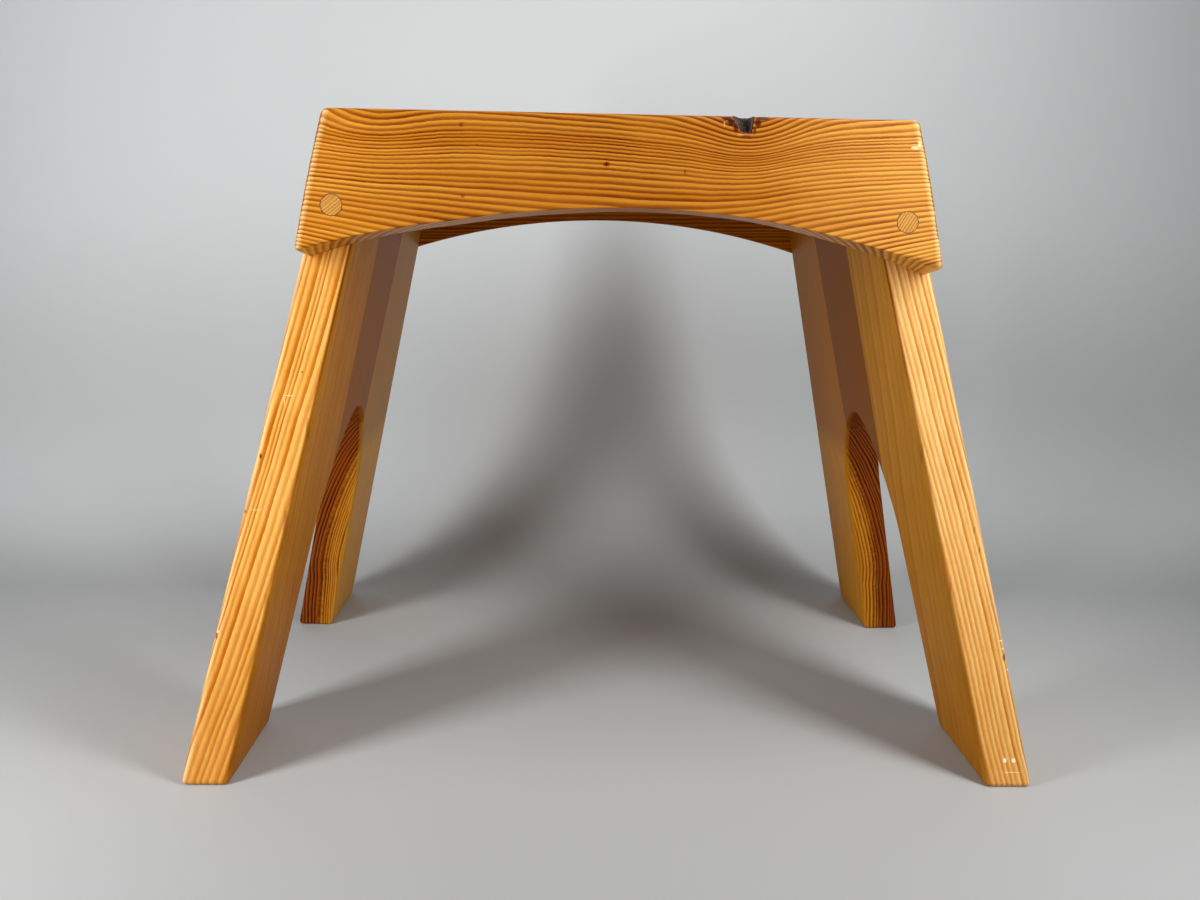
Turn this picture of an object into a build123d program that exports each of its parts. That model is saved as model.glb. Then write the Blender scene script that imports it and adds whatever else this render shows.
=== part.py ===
from build123d import *
import os
from math import cos, radians, sin, tan

# Low stool in solid pine, in millimetres.
# Two splayed leg panels, each glued up from three staves and sawn out to two feet,
# carry a seat of three boards. An arched rail is planted on each long side and
# pegged through into the edges of the leg panels.
# +Z is up, X runs along the seat, and the origin is on the floor under its middle.

# The whole stool
stool_height = 400.0
board_thickness = 28.0
leg_splay = 13.3  # degrees that the legs lean out along X
side_lean = 8.35  # degrees that the rails and the panel edges lean out along Y

# The leg panels, measured in the plane of the seat's top, where their faces would meet it
leg_outer_half_span = 168.6
panel_half_depth = 113.0
leg_edge_radius = 3.0

# The staves of a leg panel
middle_stave_width = 84.0
middle_stave_offset = -8.0

# The notch between the two feet, measured on a panel's inner face
notch_height = 207.0
notch_foot_half_width = 88.5
notch_shoulder_height = 130.0
notch_shoulder_half_width = 66.0
notch_roundness_share = 0.4

# The arched rails. Depths are level drops from the seat's top
rail_overhang = -0.1  # past the leg panels' outer faces, at the seat's top: all but flush
rail_end_slope = 11.15  # degrees
rail_end_bulge = 1.2
rail_waist_depth = 52.2
rail_top_corner_radius = 5.0
rail_toe_radius = 2.0
rail_edge_radius = 3.2
rail_inner_edge_radius = 2.0
arch_rise = 34.43  # in the rail's own plane, over its whole length
arch_end_room = 7.8
front_arch_shift = -6.0

# The pegs through the rails
peg_diameter = 12.0
peg_length = 60.0
peg_drop = 55.25  # below the seat's top
peg_offset = 3.47  # inwards from the middle of the leg panel's thickness
front_peg_skew = 1.85

# The blind dowels between the leg panels and the seat
dowel_diameter = 10.0
dowel_length = 36.0
dowel_depth_in_seat = 16.0
dowel_edge_distance = 37.0  # from the leg panel's edge, in the plane of the seat's top
seat_board_width = 75.0

# The hollow of a fallen knot, on the front rail's upper edge
knot_place = 70.1  # the middle of the hollow's narrow bottom
knot_bottom_half_width = 2.9
knot_left_slant = 5.5  # how much wider the hollow opens at the top, on each side
knot_right_slant = 1.8
knot_depth = 10.0
knot_corner_radius = 2.0

# Fits
glue_gap = 0.05
hole_end_room = 1.0
cut_overrun = 30.0

# Values that follow from the ones above
splay_rise, splay_run = cos(radians(leg_splay)), sin(radians(leg_splay))
lean_rise, lean_run = cos(radians(side_lean)), sin(radians(side_lean))
seat_underside = stool_height - board_thickness
leg_middle_half_span = (
    leg_outer_half_span
    + board_thickness * tan(radians(leg_splay))
    - board_thickness / splay_rise / 2
)
peg_height = stool_height - peg_drop
peg_half_span = (
    leg_outer_half_span
    + peg_drop * tan(radians(leg_splay))
    - board_thickness / splay_rise / 2
    - peg_offset
)
dowel_half_pitch = panel_half_depth - dowel_edge_distance
rail_half_length = leg_outer_half_span + rail_overhang
rail_end_depth = rail_waist_depth + (arch_rise + arch_end_room) * lean_rise
rail_foot_half_length = rail_half_length + rail_end_depth * tan(radians(rail_end_slope))
arch_height = stool_height - rail_waist_depth
arch_radius = (rail_foot_half_length**2 + arch_rise**2) / (2 * arch_rise)
rail_foot_height = stool_height - rail_end_depth
floor_plane = Plane.XY
seat_top_plane = Plane.XY.offset(stool_height)
seat_underside_plane = Plane.XY.offset(seat_underside)

os.makedirs("parts", exist_ok=True)
made = []


def save(name, builder):
    """Label a finished piece and write it to its own file."""
    builder.part.label = name
    export_step(builder.part, f"parts/{name}.step")
    made.append(name)


def side_plane(side):
    """The plane where a rail meets the panels and the seat: side is -1 at the front, 1 at the rear."""
    return Plane(
        origin=(0, side * panel_half_depth, stool_height),
        x_dir=(-side, 0, 0),
        z_dir=(0, side * lean_rise, lean_run),
    )


def panel_plane(end):
    """The inner face of a leg panel: end is -1 at the left, 1 at the right."""
    inner_half_span = leg_outer_half_span - board_thickness / splay_rise
    return Plane(
        origin=(end * inner_half_span, 0, stool_height),
        x_dir=(0, end, 0),
        z_dir=(end * splay_rise, 0, splay_run),
    )


def on_panel(height):
    """Where a height above the floor lies on a panel's inner face, along the slope."""
    return (height - stool_height) / splay_rise


def on_rail_back(height):
    """Where a height above the floor lies on a rail's back face, along the slope."""
    return (height - stool_height) / lean_rise


def on_rail_face(height):
    """Where a height above the floor lies on a rail's outer face, along the slope."""
    return (height - stool_height - board_thickness * lean_run) / lean_rise


# Pegs: one runs through each end of each rail into the panel's edge
def peg_centre(side, end):
    """A peg's place in its rail's plane. The front pair was marked out a little askew."""
    skew = front_peg_skew * -end if side < 0 else 0
    return (end * -side * peg_half_span, on_rail_face(peg_height + skew))


def peg_shape(side, end, radius, outside, inside):
    """A round bar along a peg's axis, from outside the rail's back face to inside it."""
    with BuildPart() as bar:
        with BuildSketch(side_plane(side).offset(outside)):
            with Locations(peg_centre(side, end)):
                Circle(radius)
        extrude(amount=-(outside + inside))
    return bar.part


def peg_hole(side, end):
    """The hole that one peg is glued into, clear through the rail and blind in the panel."""
    inside = peg_length - board_thickness + hole_end_room
    radius = peg_diameter / 2 + glue_gap
    return peg_shape(side, end, radius, board_thickness + cut_overrun, inside)


# Blind dowels: two stand in the top of each leg panel and reach into the seat
def dowel_shape(end, place, radius, room):
    """An upright round bar between a leg panel and the seat. Room lengthens both its ends."""
    bottom = seat_underside + dowel_depth_in_seat - dowel_length - room
    with BuildPart() as bar:
        with BuildSketch(Plane.XY.offset(bottom)):
            with Locations((end * leg_middle_half_span, place * dowel_half_pitch)):
                Circle(radius)
        extrude(amount=dowel_length + 2 * room)
    return bar.part


def dowel_hole(end, place):
    return dowel_shape(end, place, dowel_diameter / 2 + glue_gap, hole_end_room)


# Leg panel: a sloping board, cut level at the floor and under the seat
def glued_leg_panel(end):
    """A whole leg panel, before its three staves are told apart."""
    floor_half_depth = panel_half_depth + stool_height * tan(radians(side_lean))
    shoulder = (notch_shoulder_half_width, on_panel(notch_shoulder_height))
    flank = (notch_foot_half_width - notch_shoulder_half_width) / notch_shoulder_height
    crown_rise = notch_roundness_share * (notch_height - notch_shoulder_height)
    steer = (
        notch_shoulder_half_width - flank * crown_rise,
        on_panel(notch_shoulder_height + crown_rise),
    )
    crown = (notch_roundness_share * notch_shoulder_half_width, on_panel(notch_height))
    apex = (0, on_panel(notch_height))
    foot = (notch_foot_half_width + flank * cut_overrun, on_panel(-cut_overrun))
    with BuildPart() as panel:
        with BuildSketch(panel_plane(end)):
            with Locations((0, on_panel(stool_height / 2))):
                Rectangle(2 * (floor_half_depth + cut_overrun), stool_height + 2 * cut_overrun)
            with BuildLine():
                Bezier(apex, crown, steer, shoulder)
                Line(shoulder, foot)
                Line(foot, (0, foot[1]))
                mirror(about=Plane.YZ)
            make_face(mode=Mode.SUBTRACT)
        extrude(amount=board_thickness)
        split(bisect_by=floor_plane, keep=Keep.TOP)
        split(bisect_by=seat_underside_plane, keep=Keep.BOTTOM)
        split(bisect_by=side_plane(-1), keep=Keep.BOTTOM)
        split(bisect_by=side_plane(1), keep=Keep.BOTTOM)
        top_face = panel.faces().sort_by(Axis.Z)[-1]
        eased = panel.edges() - top_face.edges()
        fillet(eased, leg_edge_radius)
    return panel.part


stave_front = middle_stave_offset - middle_stave_width / 2
stave_rear = middle_stave_offset + middle_stave_width / 2
front_joint = Plane(origin=(0, stave_front, 0), z_dir=(0, 1, 0))
rear_joint = Plane(origin=(0, stave_rear, 0), z_dir=(0, 1, 0))

for end, end_name in ((-1, "left"), (1, "right")):
    panel = glued_leg_panel(end)

    # Front stave, with the front foot
    with BuildPart() as front_stave:
        add(panel)
        split(bisect_by=front_joint, keep=Keep.BOTTOM)
        add(peg_hole(-1, end), mode=Mode.SUBTRACT)
        add(dowel_hole(end, -1), mode=Mode.SUBTRACT)
    save(f"{end_name}_leg_front_stave", front_stave)

    # Middle stave, which ends in the notch
    with BuildPart() as middle_stave:
        add(panel)
        split(bisect_by=front_joint, keep=Keep.TOP)
        split(bisect_by=rear_joint, keep=Keep.BOTTOM)
    save(f"{end_name}_leg_middle_stave", middle_stave)

    # Rear stave, with the rear foot
    with BuildPart() as rear_stave:
        add(panel)
        split(bisect_by=rear_joint, keep=Keep.TOP)
        add(peg_hole(1, end), mode=Mode.SUBTRACT)
        add(dowel_hole(end, 1), mode=Mode.SUBTRACT)
    save(f"{end_name}_leg_rear_stave", rear_stave)


# Rail: a board on the slope of the side, arched below and cut level along the seat's top
def arched_rail(side, arch_shift):
    """A rail with its peg holes. The arch is sawn square to the board's face."""
    middle_half_length = (rail_half_length + rail_foot_half_length) / 2 + rail_end_bulge
    middle_height = (stool_height + rail_foot_height) / 2
    top = (rail_half_length, on_rail_back(stool_height))
    middle = (middle_half_length, on_rail_back(middle_height))
    foot = (rail_foot_half_length, on_rail_back(rail_foot_height))
    low = (rail_foot_half_length, on_rail_back(rail_foot_height - cut_overrun))
    arch_centre = (-side * arch_shift, on_rail_back(arch_height) - arch_radius)
    with BuildPart() as rail:
        with BuildSketch(side_plane(side)) as outline:
            with BuildLine():
                Line((0, cut_overrun), (rail_half_length, cut_overrun))
                Line((rail_half_length, cut_overrun), top)
                ThreePointArc(top, middle, foot)
                Line(foot, low)
                Line(low, (0, low[1]))
                mirror(about=Plane.YZ)
            make_face()
            with Locations(arch_centre):
                Circle(arch_radius, mode=Mode.SUBTRACT)
            fillet(outline.vertices().sort_by(Axis.Y)[:2], rail_toe_radius)
        extrude(amount=board_thickness)
        split(bisect_by=seat_top_plane, keep=Keep.BOTTOM)
        top_ends = rail.faces().sort_by(Axis.Z)[-1].edges().sort_by(Axis.X)
        fillet([top_ends[0], top_ends[-1]], rail_top_corner_radius)
        outer_face = rail.faces().sort_by(Axis.Y)[0 if side < 0 else -1]
        fillet(outer_face.edges(), rail_edge_radius)
        back_face = rail.faces().filter_by(side_plane(side)).sort_by(Axis.Y)[-1 if side < 0 else 0]
        arch_edge = back_face.edges().filter_by(GeomType.CIRCLE).sort_by(Edge.length)[-1]
        fillet(arch_edge, rail_inner_edge_radius)
        for end in (-1, 1):
            add(peg_hole(side, end), mode=Mode.SUBTRACT)
    return rail.part


# Front rail, with the hollow that a fallen knot left in its upper edge
rail_top_reach = panel_half_depth + board_thickness / lean_rise
knot_plane = Plane(
    origin=(knot_place, -rail_top_reach, stool_height), x_dir=(1, 0, 0), z_dir=(0, -1, 0)
)
with BuildPart() as knot_hollow:
    with BuildSketch(knot_plane) as knot_outline:
        with BuildLine():
            Polyline(
                (-knot_bottom_half_width - knot_left_slant, 0),
                (-knot_bottom_half_width, -knot_depth),
                (knot_bottom_half_width, -knot_depth),
                (knot_bottom_half_width + knot_right_slant, 0),
                close=True,
            )
        make_face()
        fillet(knot_outline.vertices().sort_by(Axis.Y)[:2], knot_corner_radius)
    revolve(axis=Axis(knot_plane.origin, (1, 0, 0)))

with BuildPart() as front_rail:
    add(arched_rail(-1, front_arch_shift))
    add(knot_hollow.part, mode=Mode.SUBTRACT)
save("front_rail", front_rail)

# Rear rail
with BuildPart() as rear_rail:
    add(arched_rail(1, 0))
save("rear_rail", rear_rail)

# Pegs, flush with the rails' outer faces
for side, side_name in ((-1, "front"), (1, "rear")):
    for end, end_name in ((-1, "left"), (1, "right")):
        with BuildPart() as peg:
            inside = peg_length - board_thickness
            add(peg_shape(side, end, peg_diameter / 2, board_thickness, inside))
        save(f"{side_name}_{end_name}_peg", peg)

# Blind dowels
for place, side_name in ((-1, "front"), (1, "rear")):
    for end, end_name in ((-1, "left"), (1, "right")):
        with BuildPart() as dowel:
            add(dowel_shape(end, place, dowel_diameter / 2, 0))
        save(f"{side_name}_{end_name}_seat_dowel", dowel)

# Seat: a board between the rails, its ends on their slope, before its boards are told apart
seat_end_run = board_thickness * tan(radians(rail_end_slope))
seat_half_reach = panel_half_depth + cut_overrun
with BuildPart() as glued_seat:
    with BuildSketch(Plane.XZ):
        with BuildLine():
            Polyline(
                (rail_half_length, stool_height),
                (rail_half_length + seat_end_run, seat_underside),
                (-rail_half_length - seat_end_run, seat_underside),
                (-rail_half_length, stool_height),
                close=True,
            )
        make_face()
    extrude(amount=seat_half_reach, both=True)
    split(bisect_by=side_plane(-1), keep=Keep.BOTTOM)
    split(bisect_by=side_plane(1), keep=Keep.BOTTOM)
    end_edges = glued_seat.edges().filter_by(Axis.Y)
    fillet(end_edges, rail_top_corner_radius)

seat_joints = [
    Plane(origin=(0, side * seat_board_width / 2, 0), z_dir=(0, 1, 0)) for side in (-1, 1)
]

with BuildPart() as front_seat_board:
    add(glued_seat.part)
    split(bisect_by=seat_joints[0], keep=Keep.BOTTOM)
    for end in (-1, 1):
        add(dowel_hole(end, -1), mode=Mode.SUBTRACT)
save("front_seat_board", front_seat_board)

with BuildPart() as middle_seat_board:
    add(glued_seat.part)
    split(bisect_by=seat_joints[0], keep=Keep.TOP)
    split(bisect_by=seat_joints[1], keep=Keep.BOTTOM)
save("middle_seat_board", middle_seat_board)

with BuildPart() as rear_seat_board:
    add(glued_seat.part)
    split(bisect_by=seat_joints[1], keep=Keep.TOP)
    for end in (-1, 1):
        add(dowel_hole(end, 1), mode=Mode.SUBTRACT)
save("rear_seat_board", rear_seat_board)

print(len(made), "pieces:", ", ".join(made))
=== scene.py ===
# %% [markdown]
# # A low stool in lacquered pine
# The real stool is a small joiner's piece: two splayed leg panels glued up from staves,
# a seat of three boards, and an arched rail planted on each long side and pegged through
# into the legs. Everything the eye enjoys on it is the grain of slow-grown pine.
# The construction model gives the true shapes, so this lesson is mostly about wood:
# where each board came from in the trunk, how its growth rings run, and how age,
# lacquer and knocks have changed its surface.

import math

import bpy
import numpy as np
from mathutils import Matrix, Vector


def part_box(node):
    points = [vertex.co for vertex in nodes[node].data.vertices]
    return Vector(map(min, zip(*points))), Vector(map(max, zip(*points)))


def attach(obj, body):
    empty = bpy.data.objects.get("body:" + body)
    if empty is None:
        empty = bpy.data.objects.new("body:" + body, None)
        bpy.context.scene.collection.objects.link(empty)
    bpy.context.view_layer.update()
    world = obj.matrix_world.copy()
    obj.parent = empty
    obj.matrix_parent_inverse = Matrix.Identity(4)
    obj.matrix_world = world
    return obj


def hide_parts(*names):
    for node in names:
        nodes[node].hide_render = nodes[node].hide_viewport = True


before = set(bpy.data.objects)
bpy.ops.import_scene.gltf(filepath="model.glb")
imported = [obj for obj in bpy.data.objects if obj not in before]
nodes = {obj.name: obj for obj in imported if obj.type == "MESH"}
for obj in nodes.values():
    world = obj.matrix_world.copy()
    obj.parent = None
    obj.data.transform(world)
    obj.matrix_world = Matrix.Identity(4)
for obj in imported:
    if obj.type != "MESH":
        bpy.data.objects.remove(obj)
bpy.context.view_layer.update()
print(len(nodes), "pieces of the stool loaded")

# %% [markdown]
# ## Colours and nodes
# Every material below is a tree of nodes. One helper turns an sRGB hex value, as a colour
# picker shows it, into the linear colour that a renderer works in. Another adds a node,
# sets its options and links its inputs, and a third puts an object in the scene. A map
# range lists its input, the two values that it reads from, and the two that they become.


# %% Colours and nodes
def linear(hex_colour):
    """An sRGB hex value as linear red, green, blue and alpha."""
    channels = [int(hex_colour[i : i + 2], 16) / 255 for i in (1, 3, 5)]
    curved = [c / 12.92 if c <= 0.04045 else ((c + 0.055) / 1.055) ** 2.4 for c in channels]
    return (*curved, 1.0)


def add(tree, kind, inputs=(), out=0, **settings):
    """Adds one node. kind is its Blender name after ShaderNode, and the inputs are a list
    in socket order or a dict by name."""
    node = tree.nodes.new("ShaderNode" + kind)
    for option, value in settings.items():
        setattr(node, option, value)
    pairs = inputs.items() if isinstance(inputs, dict) else enumerate(inputs)
    for key, value in pairs:
        if isinstance(value, bpy.types.NodeSocket):
            tree.links.new(value, node.inputs[key])
        else:
            node.inputs[key].default_value = value
    return node.outputs[out] if node.outputs else node


def put(name, data):
    """A new object in the scene, which shows the data."""
    new = bpy.data.objects.new(name, data)
    bpy.context.scene.collection.objects.link(new)
    return new


# the sockets that a mix node uses for two colours, and what makes it mix them
UNDER, OVER, MIXED = 6, 7, {"data_type": "RGBA", "out": 2}
print("a mid grey #808080 is", round(linear("#808080")[0], 3), "in linear light")

# %% [markdown]
# ## Curves and places
# Much of what wood does changes along a line: up a leg, or in from an edge. Such a change
# is written as a short list of points with a curve drawn through them. Places are read in
# millimetres, because a joiner thinks of ring widths and pores in millimetres.


# %% Curves and places
def drawn(tree, factor, points, bends="VECTOR"):
    """A curve through points, read at factor. It gives the second value of each point.
    Its pieces are straight, or bend smoothly where bends is AUTO_CLAMPED."""
    first, last = points[0][0], points[-1][0]
    lowest, highest = min(p[1] for p in points), max(p[1] for p in points)
    span = highest - lowest or 1.0
    share = add(tree, "MapRange", [factor, first, last, 0.0, 1.0], clamp=True)
    height = add(tree, "FloatCurve", {"Value": share})
    curve = height.node.mapping.curves[0]
    scaled = [((x - first) / (last - first), (y - lowest) / span) for x, y in points]
    while len(curve.points) < len(scaled):
        curve.points.new(0.5, 0.5)
    for point, place in zip(curve.points, scaled):
        point.location = place
        point.handle_type = bends
    height.node.mapping.update()
    return add(tree, "Math", [height, span, lowest], operation="MULTIPLY_ADD")


def new_material(name):
    """An empty material and its tree, with the position on the stool in millimetres."""
    material = bpy.data.materials.new(name)
    material.use_nodes = True
    tree = material.node_tree
    tree.nodes.clear()
    place = add(tree, "TexCoord", out="Object")
    place = add(tree, "VectorMath", {0: place, "Scale": 1000.0}, operation="SCALE")
    return material, tree, place


print("curves can be drawn, and places are in millimetres")

# %% [markdown]
# ## What lacquered pine looks like
# Pine lays down one ring a year: a wide pale band in spring that darkens slowly through
# the summer and stops dead in autumn. Across the grain the eye reads that as a gradual
# ramp and then a sharp edge, never as an even stripe. Ring widths vary from year to year,
# some autumns are darker than others, and a slow waver runs through them all.
#
# The way through the rings is a distance in millimetres. A list says where each autumn
# falls on it, which gives a count of years. The part of a year that has passed then gives
# the ramp, and the whole years give each year its own luck.

# %% Years and seasons
# how dark the wood is through one year
AUTUMN_RAMP = [(0.0, 0.50), (0.05, 0.08), (0.25, 0.06), (0.42, 0.32), (0.58, 0.72), (0.72, 0.97),
               (0.95, 1.0), (1.0, 0.50)]
# how often a pattern repeats in a millimetre: a waver 22 mm long, one 3 mm long, and
# darker and paler patches 33 mm wide
DRIFT_RATE, FLUTTER_RATE, PATCH_RATE = 0.045, 0.35, 0.03
# how far, in millimetres, each waver moves a ring
DRIFT_REACH, FLUTTER_REACH = 1.1, 0.5
# how much of a ring's darkness is left where a board shows its rings only faintly
FAINTEST = 0.3


def wavered(tree, place, course):
    """The way through the rings with its waver, and the quicker noise that made part of it."""
    drift = add(tree, "TexNoise", {"Vector": place, "Scale": DRIFT_RATE, "Detail": 2.0})
    flutter = add(tree, "TexNoise", {"Vector": place, "Scale": FLUTTER_RATE, "Detail": 2.0})
    way = course(tree, place)
    way = add(tree, "Math", [drift, DRIFT_REACH, way], operation="MULTIPLY_ADD")
    way = add(tree, "Math", [flutter, FLUTTER_REACH, way], operation="MULTIPLY_ADD")
    middle = (DRIFT_REACH + FLUTTER_REACH) / 2
    return add(tree, "Math", [way, middle], operation="SUBTRACT"), flutter


def autumn_bands(tree, place, way, autumns, fade, faint):
    """How dark the autumn wood is, and the luck that its year drew. fade is how much
    darkness an unlucky year loses."""
    years = drawn(tree, way, [(at, float(i)) for i, at in enumerate(autumns)])
    season = add(tree, "Math", [years], operation="FRACT")
    year = add(tree, "Math", [years], operation="FLOOR")
    luck = add(tree, "TexWhiteNoise", {"W": year}, noise_dimensions="1D")
    strength = add(tree, "MapRange", [luck, 0.0, 1.0, 1.0 - fade, 1.0])
    patchy = add(tree, "TexNoise", {"Vector": place, "Scale": PATCH_RATE, "Detail": 3.0})
    patchy = add(tree, "MapRange", [patchy, 0.3, 0.7, 0.8, 1.08])
    ramp = drawn(tree, season, AUTUMN_RAMP)
    dark = add(tree, "Math", [ramp, strength], operation="MULTIPLY")
    dark = add(tree, "Math", [dark, patchy], operation="MULTIPLY", use_clamp=True)
    if faint:
        hush = add(tree, "MapRange", [faint(tree, place), 0.0, 1.0, 1.0, FAINTEST])
        dark = add(tree, "Math", [dark, hush], operation="MULTIPLY")
    return dark, luck


print("one year's ramp has", len(AUTUMN_RAMP), "points")

# %% [markdown]
# ## The colour of the wood
# Spring wood and summer wood are two close colours that change in slow streaks and from
# year to year. The autumn bands lie over both. Fine fibres run along the board and break
# the colour up a little. The old heart of a tree is darker and redder than the wood that
# grew round it, so some boards take a second pair of colours inside a limit.

# %% Fibres and heartwood
# how often a pattern repeats in a millimetre across the grain: fibres 0.8 mm across, which
# is coarser than real ones so that they show, and streaks 6 mm across
FIBRE_RATE, STREAK_RATE = 1.3, 0.16
# along the grain both are drawn out to about 33 times that
GRAIN_SQUEEZE = 0.97
# how much a year's luck and a streak warm the pale wood
YEAR_TINT, STREAK_TINT = 0.5, 0.5
# the heart's limit wanders by up to this many millimetres and is this soft
HEART_WANDER, HEART_SOFT_FROM, HEART_SOFT_TO = 7.0, 0.6, 6.4


def fibres_along(tree, place, along):
    """Two noises drawn out along the grain: fine fibres and broad streaks."""
    squeeze = tuple(1.0 - GRAIN_SQUEEZE * abs(a) for a in along)
    fine = add(tree, "VectorMath", [place, squeeze], operation="MULTIPLY")
    fibres = add(tree, "TexNoise", {"Vector": fine, "Scale": FIBRE_RATE, "Detail": 3.0, "Roughness": 0.6})
    return fibres, add(tree, "TexNoise", {"Vector": fine, "Scale": STREAK_RATE, "Detail": 2.0})


def pale_and_deep(tree, luck, streaks, spring, summer, autumn):
    """The pale wood between the autumn bands, and the autumn bands' own colour."""
    slow = add(tree, "MapRange", [streaks, 0.35, 0.65, 0.0, 1.0])
    warm = add(tree, "Math", [luck, YEAR_TINT], operation="MULTIPLY")
    warm = add(tree, "Math", [slow, STREAK_TINT, warm], operation="MULTIPLY_ADD", use_clamp=True)
    pale = add(tree, "Mix", {"Factor": warm, UNDER: linear(spring), OVER: linear(summer)}, **MIXED)
    return pale, linear(autumn)


def with_heart(tree, place, flutter, pale, deep, heart):
    """The two colours with the heart's over them. heart gives how far inside it a place is."""
    inside, heart_pale, heart_deep = heart
    depth = add(tree, "Math", [flutter, HEART_WANDER, inside(tree, place)], operation="MULTIPLY_ADD")
    depth = add(tree, "MapRange", [depth, HEART_SOFT_FROM, HEART_SOFT_TO, 0.0, 1.0])
    return [add(tree, "Mix", {"Factor": depth, UNDER: outer, OVER: linear(inner)}, **MIXED)
            for outer, inner in ((pale, heart_pale), (deep, heart_deep))]


print("fibres are drawn", round(1 / FIBRE_RATE, 1), "mm across")

# %% [markdown]
# ## Painted light and shade, and marks
# Most glazes here are painted light and shade: darker where the lamps light a face less,
# paler where a lamp is near or an edge catches a highlight. A mixed-in glaze leaves the hard
# autumn bands most of their colour. Pin knots, chips and bruises are marks: small places
# with a ragged edge.

# %% Glazes and marks
# how much of a mixed-in glaze, mostly painted light, the hard autumn bands shed
HARD_WOOD_KEEPS = 0.85
# a mark's edge: how often it is ragged in a millimetre, by how much, and where it fades
RAGGED_RATE, RAGGED_REACH, MARK_FULL, MARK_GONE = 0.9, 0.7, 1.0, 1.5


def glazed(tree, place, colour, dark, glazes, sheen):
    """The colour under its glazes, mostly painted light and shade, and the sheen that they
    leave. Each glaze gives where it lies, its colour, how it blends, and its own sheen if it has one."""
    shine = sheen
    for glaze_place, glaze_colour, glaze_way, glaze_sheen in glazes:
        reach = glaze_place(tree, place)
        if glaze_way == "MIX":
            spared = add(tree, "Math", [dark, -HARD_WOOD_KEEPS, 1.0], operation="MULTIPLY_ADD")
            reach = add(tree, "Math", [reach, spared], operation="MULTIPLY")
        layer = {"Factor": reach, UNDER: colour, OVER: linear(glaze_colour)}
        colour = add(tree, "Mix", layer, **MIXED, blend_type=glaze_way)
        if glaze_sheen is not None:
            shine = add(tree, "MapRange", [reach, 0.0, 1.0, sheen, glaze_sheen])
    return colour, shine


def marked(tree, place, colour, marks):
    """The colour with small marks on it, each a centre, a size, a colour and a strength."""
    for centre, size, mark_colour, strength in marks:
        off = add(tree, "VectorMath", [place, centre], operation="SUBTRACT")
        off = add(tree, "VectorMath", [off, tuple(1.0 / s for s in size)], operation="MULTIPLY")
        reach = add(tree, "VectorMath", [off], out=1, operation="LENGTH")
        ragged = add(tree, "TexNoise", {"Vector": place, "Scale": RAGGED_RATE, "Detail": 2.0})
        reach = add(tree, "Math", [ragged, RAGGED_REACH, reach], operation="MULTIPLY_ADD")
        cover = add(tree, "MapRange", [reach, MARK_FULL, MARK_GONE, strength, 0.0])
        spot = {"Factor": cover, UNDER: colour, OVER: linear(mark_colour)}
        colour = add(tree, "Mix", spot, **MIXED)
    return colour


# on an edge, the glaze that an autumn band sheds is a painted highlight
print("an autumn band keeps", f"{HARD_WOOD_KEEPS:.0%}", "of its colour where an edge is worn")

# %% [markdown]
# ## A board of lacquered pine
# The autumn wood is harder, so sanding and years of wear leave it standing a few
# hundredths of a millimetre proud under the lacquer, which is what makes a highlight
# along a rounded edge look beaded. The relief is drawn two or three times as deep, so that
# it shows. The lacquer is thin, satin and well rubbed, with the IOR of most lacquers.

# %% A board of lacquered pine
FIBRE_RELIEF_MM, LACQUER_IOR, LACQUER_ROUGHNESS, LACQUER_SHEEN = 0.010, 1.5, 0.34, 0.10


def pine(name, course, autumns, along, spring, summer, autumn, heart=None, marks=(), glazes=(),
         roughness=LACQUER_ROUGHNESS, relief_mm=0.10, fade=0.35, sheen=LACQUER_SHEEN, faint=None):
    """A lacquered pine board. course gives the distance through the rings from a place;
    autumns are the distances at which the rings end; along is the grain's direction; and
    faint gives where the board shows its rings only faintly."""
    material, tree, place = new_material(name)
    way, flutter = wavered(tree, place, course)
    dark, luck = autumn_bands(tree, place, way, autumns, fade, faint)
    fibres, streaks = fibres_along(tree, place, along)
    pale, deep = pale_and_deep(tree, luck, streaks, spring, summer, autumn)
    if heart:
        pale, deep = with_heart(tree, place, flutter, pale, deep, heart)
    colour = add(tree, "Mix", {"Factor": dark, UNDER: pale, OVER: deep}, **MIXED)
    streak = add(tree, "MapRange", [fibres, 0.25, 0.75, 0.90, 1.08])
    colour = add(tree, "VectorMath", {0: colour, "Scale": streak}, operation="SCALE")
    colour, shine = glazed(tree, place, colour, dark, glazes, sheen)
    colour = marked(tree, place, colour, marks)
    ridge = add(tree, "Math", [dark, relief_mm / 1000], operation="MULTIPLY")
    ridge = add(tree, "Math", [fibres, FIBRE_RELIEF_MM / 1000, ridge], operation="MULTIPLY_ADD")
    bumped = add(tree, "Bump", {"Strength": 1.0, "Distance": 1.0, "Height": ridge})
    surface = add(tree, "BsdfPrincipled", {
        "Base Color": colour, "Roughness": roughness, "IOR": LACQUER_IOR, "Specular IOR Level": shine,
        "Normal": bumped,
    })
    add(tree, "OutputMaterial", [surface])
    return material


print("lacquer of IOR", LACQUER_IOR, "and roughness", LACQUER_ROUGHNESS)

# %% [markdown]
# ## Where the sizes come from
# The lesson reads the stool's height from the construction model. Two slopes matter for
# the grain: the legs lean out along X, and the rails and the edges of the leg panels lean
# out along Y. All the boards are planed to one thickness.

# %% The stool's slopes
BOARD_THICKNESS, LEG_LEAN_DEGREES, SIDE_LEAN_DEGREES = 28.0, 13.3, 8.35
stool_top = 1000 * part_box("front_rail")[1].z
leg_slope = math.tan(math.radians(LEG_LEAN_DEGREES))
side_slope = math.tan(math.radians(SIDE_LEAN_DEGREES))
# half the stool's length over the legs and half its depth under the rails, at the top
leg_top_reach, side_top_reach = 168.6, 113.0
rail_face_reach = side_top_reach + BOARD_THICKNESS / math.cos(math.radians(SIDE_LEAN_DEGREES))
print("the seat's top is", round(stool_top, 1), "mm up")
print("a leg leans", round(leg_slope * 100, 1), "mm for each 100 mm, a rail", round(side_slope * 100, 1))

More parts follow.
